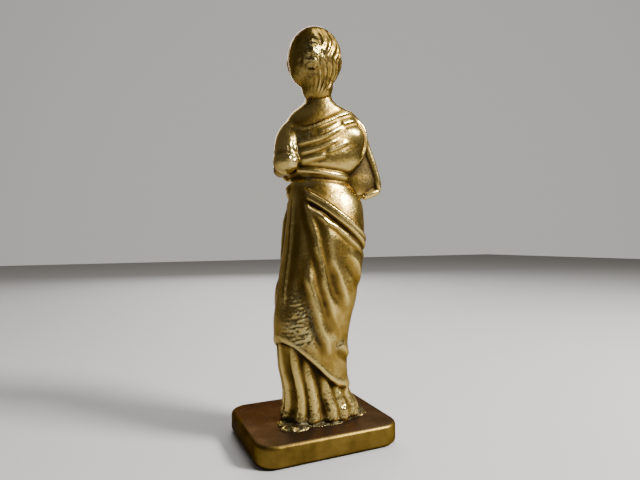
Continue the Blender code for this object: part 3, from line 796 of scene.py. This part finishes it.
clay = bmesh.new()
for form in SKULL:
    ball(clay, *form)
neck_x, neck_y = Matrix.Rotation(-HEAD_TURN, 2) @ Vector((NECK_SHIFT, 0.2))
limb(clay, ((neck_x, neck_y, -9.5, 3.8), (neck_x, neck_y, -2.5, 3.9), (0.6 * neck_x, 0.4, 2.0, 4.4),
            (0, 0.6, 6.0, 5.6)))
limb(clay, ((neck_x, neck_y + 0.4, -2.6, 3.4), (0.8 * neck_x, 0.9, -0.6, 4.9),
            (0.5 * neck_x, 1.9, 3.2, 5.6), (0, 3.2, 7.0, 6.0)))
both_sides(clay, BROW)
limb(clay, NOSE)
both_sides(clay, NOSTRIL)
both_sides(clay, EAR_RIM)
both_sides(clay, EAR_HOLLOW)
for back, lift, r in LOCKS:
    both_sides(clay, ((0.5, back - 5.9, lift + 19.9, 0.9), (2.8, back - 6.3, lift + 18.9, r),
                      (5.2, back - 5.6, lift + 16.3, r), (6.6, back - 4.3, lift + 13.8, r),
                      (7.3, back - 2.4, lift + 12.0, r), (7.3, back + 0.6, lift + 10.4, r),
                      (6.2, back + 3.2, lift + 8.8, r), (4.4, back + 3.8, lift + 7.6, r)))
ball(clay, *BUN)
head = fuse(clay, "head_casting", HEAD_VOXEL)

skin = Skin(head)
skin.relax(2)
skin.relax(30, 0.6 * skin.near(NECK_SPOTS))

# The eyes lie in shallow sockets, and the mouth is two soft swellings with a line between them
x, y, z = skin.places.T
face = ease((-4.5 - y) / 1.5)
eye = np.hypot((np.abs(x) - 2.75) / 1.45, (z - 11.0 - 0.1 * np.abs(x)) / 0.62)
skin.relax(10, 0.5 * face)
socket = ridge(np.hypot((np.abs(x) - 2.6) / 1.7, (z - 11.5) / 1.15), 1.0)
skin.swell(face * (-0.75 * socket + 0.45 * ridge(eye, 0.85) + 0.16 * ridge(eye - 1.05, 0.2)))
mouth = face * ease((2.3 - np.abs(x)) / 1.5)
lips = 0.40 * ridge(z - 5.45 + 0.08 * np.abs(x), 0.38) + 0.48 * ridge(z - 4.45, 0.5)
skin.swell(mouth * (lips - 0.16 * ridge(z - 4.95, 0.16))
           - 0.25 * face * ridge(np.hypot(x / 2.0, z - 3.3), 0.7))

# The hair is cut into fine waved strands, worn faint on the crown, and the bun is left rough
behind = ease((skin.places[:, 1] + 1.5) / 3.0)
skin.relax(22, 0.7 * behind * (1 - 0.8 * skin.near((BUN_SPOT,))))
x, y, z = skin.places.T
hair = ease((y - through(z, HAIRLINE)[:, 0]) / 0.9) * ease((z + 3.5) / 6.0)
bun = ridge(np.hypot((x - 0.9) / 3.6, (z - 10.0) / 5.0), 1.0) * (y > 5)
strand = np.degrees(np.arctan2(x, y + 0.5 + 0.12 * (z - 12)))
wave = sine(strand * STRANDS + 140 * np.sin(z * 0.55) + 120 * skin.grain(4.0))
crisp = np.maximum(ease((1.5 - x) / 4.0), 0.7 * ease((3.5 - y) / 4.0)) * ease((21.0 - z) / 6.0)
worn = (0.15 + 0.85 * crisp) * (0.65 + 0.7 * skin.grain(2.4, 4.0))
skin.swell(hair * (1 - bun) * (worn * 0.24 * wave - 0.03))
skin.relax(1, 0.4)
skin.swell(bun * (0.55 * skin.grain(1.5) + 0.2 * skin.grain(0.6, 5.0)))
skin.swell(0.05 * skin.grain(3.0, 2.0))
skin.mark("hollow", skin.hollows(24, 0.42))
skin.mark("rough", 0.8 * bun)
head.data.transform(Matrix.Translation(HEAD_PLACE * MM) @ Matrix.Rotation(HEAD_TURN, 4, "Z"))
brass_piece(head, "head")


# ---- Forearms
# Each is its own casting, pegged into the elbow. The hands are folded in front of the waist, the left
# resting over the right, with the fingers only lightly parted as small castings have them.

ARM_VOXEL = 0.16 * MM
FINGER_SPACING = 1.12
FINGER_LENGTHS = (0.86, 1.0, 0.97, 0.78)


def forearm(name, path, knuckles, across, reach, curl):
    """Forearm along a path; the fingers start in a row at the knuckles and reach out and curl in (mm)."""
    clay = bmesh.new()
    limb(clay, path, facing=(0, 0, 1))
    wrist = Vector(path[-1][:3])
    middle = Vector(knuckles)
    out, row = Vector(reach), Vector(across)
    limb(clay, ((*wrist, 1.7), (*wrist.lerp(middle, 0.5), 2.5), (*middle, 2.4)), 0.55,
         tuple(row.cross(out)))
    for i, length in enumerate(FINGER_LENGTHS):
        root = middle + row * (i - 1.5) * FINGER_SPACING
        tip = root + out * length
        points = [(*root, 0.72), (*root.lerp(tip, 0.5), 0.68), (*(tip + Vector(curl) * 0.5), 0.6),
                  (*(tip + Vector(curl)), 0.5)]
        limb(clay, points, facing=tuple(row))
    thumb = wrist.lerp(middle, 0.35) + row * 2.0
    knuckle, end = thumb + out * 0.45 + row * 0.5, thumb + out * 0.9 + row * 0.2
    limb(clay, ((*thumb, 0.9), (*knuckle, 0.75), (*end, 0.55)), facing=tuple(row))
    arm = fuse(clay, name, ARM_VOXEL)
    skin = Skin(arm)
    skin.relax(2)
    skin.swell(0.05 * skin.grain(2.5))
    skin.mark("hollow", skin.hollows(24, 0.4))
    skin.mark("rough", np.zeros(skin.total))
    return arm


left = forearm(
    "left_forearm_casting",
    ((7.4, 2.4, 92.6, 3.0), (7.6, -4.0, 92.2, 3.1), (6.8, -10.0, 91.5, 2.5), (4.8, -13.0, 91.0, 1.9)),
    knuckles=(1.6, -14.6, 90.2), across=(0.1, -0.35, 0.93), reach=(-4.4, -0.4, -1.6),
    curl=(-0.9, 1.4, -0.9))
brass_piece(left, "left_forearm")
right = forearm(
    "right_forearm_casting",
    ((-22.6, 0.2, 85.4, 3.4), (-20.0, -6.6, 84.8, 3.3), (-15.6, -11.2, 84.8, 2.5),
     (-11.6, -13.0, 85.4, 1.9)),
    knuckles=(-7.6, -14.0, 86.4), across=(0.1, -0.3, 0.95), reach=(4.6, -0.3, 1.0),
    curl=(0.9, 1.3, -0.4))
brass_piece(right, "right_forearm")


# ---- Floor, lights and camera
# The part stands on a plain pale floor under soft boxes. The room is pale on the far side of the figure and
# dim on the near side, so the brass shows dark and light.

FLOOR_SIZE = 3.0
FLOOR_PALE = (0.35, 0.34, 0.325, 1.0)
FLOOR_ROUGHNESS = 0.7

bpy.ops.mesh.primitive_plane_add(size=FLOOR_SIZE, location=(0, 0, 0))
floor = bpy.context.object
floor.name = "floor"
floor_finish = Nodes("pale_floor")
floor_finish.shader.inputs["Base Color"].default_value = FLOOR_PALE
floor_finish.shader.inputs["Roughness"].default_value = FLOOR_ROUGHNESS
floor.data.materials.append(floor_finish.material)

PALE_SIDE = (-0.45, -0.89, 0.0)
ROOM_PALE = (0.50, 0.48, 0.45, 1.0)
ROOM_DIM = (0.145, 0.135, 0.125, 1.0)
# How far a direction points to the pale side, from -1 to 1, where the room starts and stops getting paler
DIM_UP_TO, PALE_FROM = 0.15, 0.95

world = bpy.data.worlds.new("studio")
world.use_nodes = True
sky = world.node_tree
facing = sky.nodes.new("ShaderNodeTexCoord")
toward = sky.nodes.new("ShaderNodeVectorMath")
toward.operation = "DOT_PRODUCT"
toward.inputs[1].default_value = PALE_SIDE
band = sky.nodes.new("ShaderNodeValToRGB")
band.color_ramp.interpolation = "EASE"
band.color_ramp.elements[0].position, band.color_ramp.elements[0].color = DIM_UP_TO, ROOM_DIM
band.color_ramp.elements[1].position, band.color_ramp.elements[1].color = PALE_FROM, ROOM_PALE
sky.links.new(facing.outputs["Generated"], toward.inputs[0])
sky.links.new(toward.outputs["Value"], band.inputs["Fac"])
sky.links.new(band.outputs["Color"], sky.nodes["Background"].inputs["Color"])
bpy.context.scene.world = world

FIGURE_MIDDLE = Vector((0, 0, 0.07))


def soft_light(name, place, size, power):
    """A round soft box aimed at the middle of the figure."""
    light = bpy.data.lights.new(name, "AREA")
    light.shape = "DISK"
    light.size = size
    light.energy = power
    lamp = bpy.data.objects.new(name, light)
    lamp.location = place
    lamp.rotation_euler = (FIGURE_MIDDLE - Vector(place)).to_track_quat("-Z", "Y").to_euler()
    bpy.context.scene.collection.objects.link(lamp)


soft_light("key", (-0.37, 0.33, 0.40), size=0.15, power=14.0)
soft_light("overhead", (-0.20, 0.05, 0.95), size=0.50, power=4.0)
soft_light("front", (-0.15, -0.60, 0.40), size=0.50, power=4.0)

CAMERA_PLACE = Vector((61.8, 148.6, 66.4)) * MM
CAMERA_TURN = math.radians(23.86)
CAMERA_TILT = math.radians(0.11)
CAMERA_ROLL = math.radians(-0.45)
FRAME_WIDTH = 36.0
FOCAL_LENGTH = 26.409375
NEAREST = 0.01

lens = bpy.data.cameras.new("camera")
lens.sensor_width = FRAME_WIDTH
lens.lens = FOCAL_LENGTH
lens.clip_start = NEAREST
camera = bpy.data.objects.new("camera", lens)
turn = (Matrix.Rotation(math.pi - CAMERA_TURN, 4, "Z") @ Matrix.Rotation(math.pi / 2 + CAMERA_TILT, 4, "X")
        @ Matrix.Rotation(CAMERA_ROLL, 4, "Z"))
camera.matrix_world = Matrix.Translation(CAMERA_PLACE) @ turn
bpy.context.scene.collection.objects.link(camera)
bpy.context.scene.camera = camera
